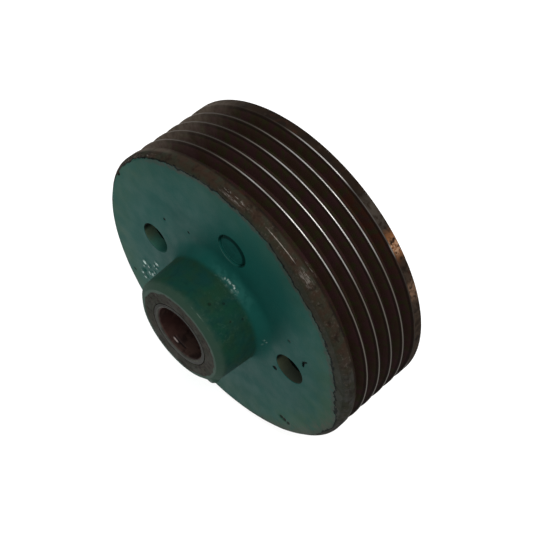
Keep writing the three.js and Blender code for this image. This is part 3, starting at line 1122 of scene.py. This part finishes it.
def sleeve_material():
    s = Surface("sleeve_steel")
    marks = s.turning_marks(0.7)
    in_bore = s.ramp(s.radius, SLEEVE_BORE + 0.5 * MM, SLEEVE_BORE + 0.9 * MM, 1.0, 0.0)
    face = s.mix(s.ramp(marks, 0.4, 0.7), SLEEVE_END, SLEEVE_END_DARK)
    face = s.mix(s.ramp(s.noise(8, 4, shift=3), 0.45, 0.7, 0.0, 0.6), face, IRON_DARK)
    mouth_end = SLEEVE_BORE + SLEEVE_CHAMFER + 0.3 * MM
    mouth = s.window(s.radius, SLEEVE_BORE + 0.7 * MM, mouth_end, 0.3 * MM)
    rubbed = s.times(mouth, s.ramp(s.noise(10, 4, shift=5), 0.3, 0.6, 0.3, 0.9))
    face = s.mix(rubbed, face, SLEEVE_MOUTH)
    bore = s.mix(s.ramp(s.noise(9, 5, 0.6, shift=4), 0.40, 0.62), BORE_BROWN, BORE_DARK)
    redder = s.times(s.window(s.side, 118, 170, 14), s.noise(9, 3, shift=6))
    bore = s.mix(redder, bore, BORE_RED)
    colour = s.mix(in_bore, face, bore)
    depth = s.minus(s.y, HUB_FRONT)
    reach = s.times(in_bore, s.sector(-123, -89, 3))
    burr_length = s.times(in_bore, s.sector(-121, -109, 3))
    burr = s.times(burr_length, s.window(depth, 4.6 * MM, 5.8 * MM, 0.3 * MM))
    score = s.times(reach, s.window(depth, 6.1 * MM, 7.2 * MM, 0.3 * MM))
    # The burr's pale colour is partly a painted highlight.
    colour = s.mix(burr, colour, BORE_BURR)
    colour = s.mix(score, colour, BORE_SCORE)
    face_roughness = s.ramp(marks, 0.3, 0.7, 0.66, 0.80)
    roughness = s.blend(in_bore, face_roughness, s.ramp(marks, 0.3, 0.7, 0.40, 0.55))
    relief = s.bump(marks, 0.08 * MM, 0.8)
    relief = s.bump(s.noise(2.5, 4, shift=10), 0.08 * MM, 0.6, relief)
    return s.finish(colour, roughness, s.blend(in_bore, 0.0, 0.2), relief)


def plug_material():
    s = Surface("plug_paint")
    deeper = s.ramp(s.noise(5, 4, shift=50), 0.40, 0.66, 0.5, 1.0)
    colour = s.mix(deeper, paint_colour(s), TEAL_DEEP)
    # Painted shade in the corner round the plug.
    colour = s.mix(s.times(plug_painted_shade(s), 0.85), colour, TEAL_DARK)
    # A painted highlight on the plug's edge beside the lit lip.
    for angle in PLUGGED_ANGLES:
        far_edge_highlight = s.ramp(web_hole_distance(s, angle, -1.6 * MM), 14.2 * MM, 15.2 * MM)
        here = s.ramp(web_hole_distance(s, angle), 15.9 * MM, 16.5 * MM, 1.0, 0.0)
        colour = s.mix(s.times(far_edge_highlight, here, 0.8), colour, TEAL_LIGHT)
    roughness = s.ramp(s.noise(12, 4, shift=51), 0.3, 0.7, 0.64, 0.74)
    dull = s.times(plug_painted_shade(s), 0.8)
    relief = s.bump(brushed(s, 52), 0.35 * MM, 0.6)
    return s.finish(colour, roughness, dull, relief, specular=0.13)


def floor_material():
    s = Surface("pale_floor")
    colour = s.mix(s.noise(500, 3), FLOOR_PALE, FLOOR_PALER)
    return s.finish(colour, 0.9, 0.0, s.bump(s.noise(2, 2), 0.02 * MM, 0.3))


# ---- Camera, floor and lights ----


def aim(obj, target, roll_degrees=0.0):
    """Points obj's -Z at the target with its own +Y upright, then rolls it."""
    way = (target - obj.location).to_track_quat("-Z", "Y")
    rolled = way.to_matrix() @ Matrix.Rotation(math.radians(roll_degrees), 3, "Z")
    obj.rotation_euler = rolled.to_euler()


def make_camera():
    """A long lens above the front right of the pulley, looking down at it."""
    azimuth, elevation, roll = math.radians(44.573), math.radians(51.582), 0.577
    data = bpy.data.cameras.new("camera")
    data.lens = 80.41
    data.sensor_width = 36
    camera = bpy.data.objects.new("camera", data)
    bpy.context.scene.collection.objects.link(camera)
    camera.location = (0.4687, -0.4663, 0.8419)
    back = Vector((
        math.sin(azimuth) * math.cos(elevation),
        -math.cos(azimuth) * math.cos(elevation),
        math.sin(elevation),
    ))
    aim(camera, camera.location - back, roll)
    bpy.context.scene.camera = camera


def make_floor():
    mesh = bpy.data.meshes.new("floor")
    half, height = 8.0, cad_low.z
    corners = [(-half, -half), (half, -half), (half, half), (-half, half)]
    mesh.from_pydata([(x, y, height) for x, y in corners], [], [(0, 1, 2, 3)])
    floor = new_object("floor", mesh)
    mesh.materials.append(floor_material())
    floor.visible_diffuse = False
    floor.visible_glossy = False
    return floor


def make_light(name, location, size, energy):
    data = bpy.data.lights.new(name, "AREA")
    data.shape = "RECTANGLE"
    data.size, data.size_y = size
    data.energy = energy
    light = bpy.data.objects.new(name, data)
    bpy.context.scene.collection.objects.link(light)
    light.location = location
    aim(light, Vector((0, 0, 0)))
    light.visible_camera = False
    return light


def group(name, objects):
    made = bpy.data.collections.new(name)
    for obj in objects:
        made.objects.link(obj)
    return made


def light_scene(pulley_pieces, floor):
    """A key light from the front left and below, soft boxes above and behind, and a pale room.

    The floor doesn't stop the key light, and it has a soft box of its own, which the pulley doesn't
    stop, so that it stays pale beside a dark object.
    """
    key_way = Vector((-0.4286, -0.515, -0.7423))
    key = make_light("key", key_way * 1.6, (0.55, 0.55), 5.2)
    pulley_only = group("pulley_only", pulley_pieces)
    key.light_linking.receiver_collection = pulley_only
    key.light_linking.blocker_collection = pulley_only
    make_light("overhead", (0.6, -0.2, 1.4), (0.9, 0.7), 7)
    make_light("rear", (-0.2, 1.7, 0.0), (0.8, 0.24), 6)
    floor_light = make_light("floor_light", (0.1, -0.1, 2.2), (1.6, 1.6), 60)
    floor_only = group("floor_only", [floor])
    floor_light.light_linking.receiver_collection = floor_only
    floor_light.light_linking.blocker_collection = floor_only
    world = bpy.data.worlds.new("room")
    world.use_nodes = True
    background = world.node_tree.nodes["Background"]
    background.inputs["Color"].default_value = (0.96, 0.97, 1.0, 1)
    background.inputs["Strength"].default_value = 0.48
    bpy.context.scene.world = world
    bpy.context.scene.view_settings.view_transform = "Standard"


# ---- The pulley ----


def place_piece(obj, material, body, node):
    obj.data.materials.clear()
    obj.data.materials.append(material)
    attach(obj, body)
    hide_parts(node)
    return obj


make_camera()
floor = make_floor()
paint_and_iron = casting_material()
plug_paint = plug_material()
pulley = [
    place_piece(make_casting(), paint_and_iron, "pulley", "pulley_casting"),
    place_piece(make_sleeve(), sleeve_material(), "sleeve", "bearing_sleeve"),
    place_piece(
        make_plug("upper_plug_face", "upper_web_plug", 61),
        plug_paint, "pulley", "upper_web_plug",
    ),
    place_piece(
        make_plug("lower_plug_face", "lower_web_plug", 67),
        plug_paint, "pulley", "lower_web_plug",
    ),
]
light_scene(pulley, floor)
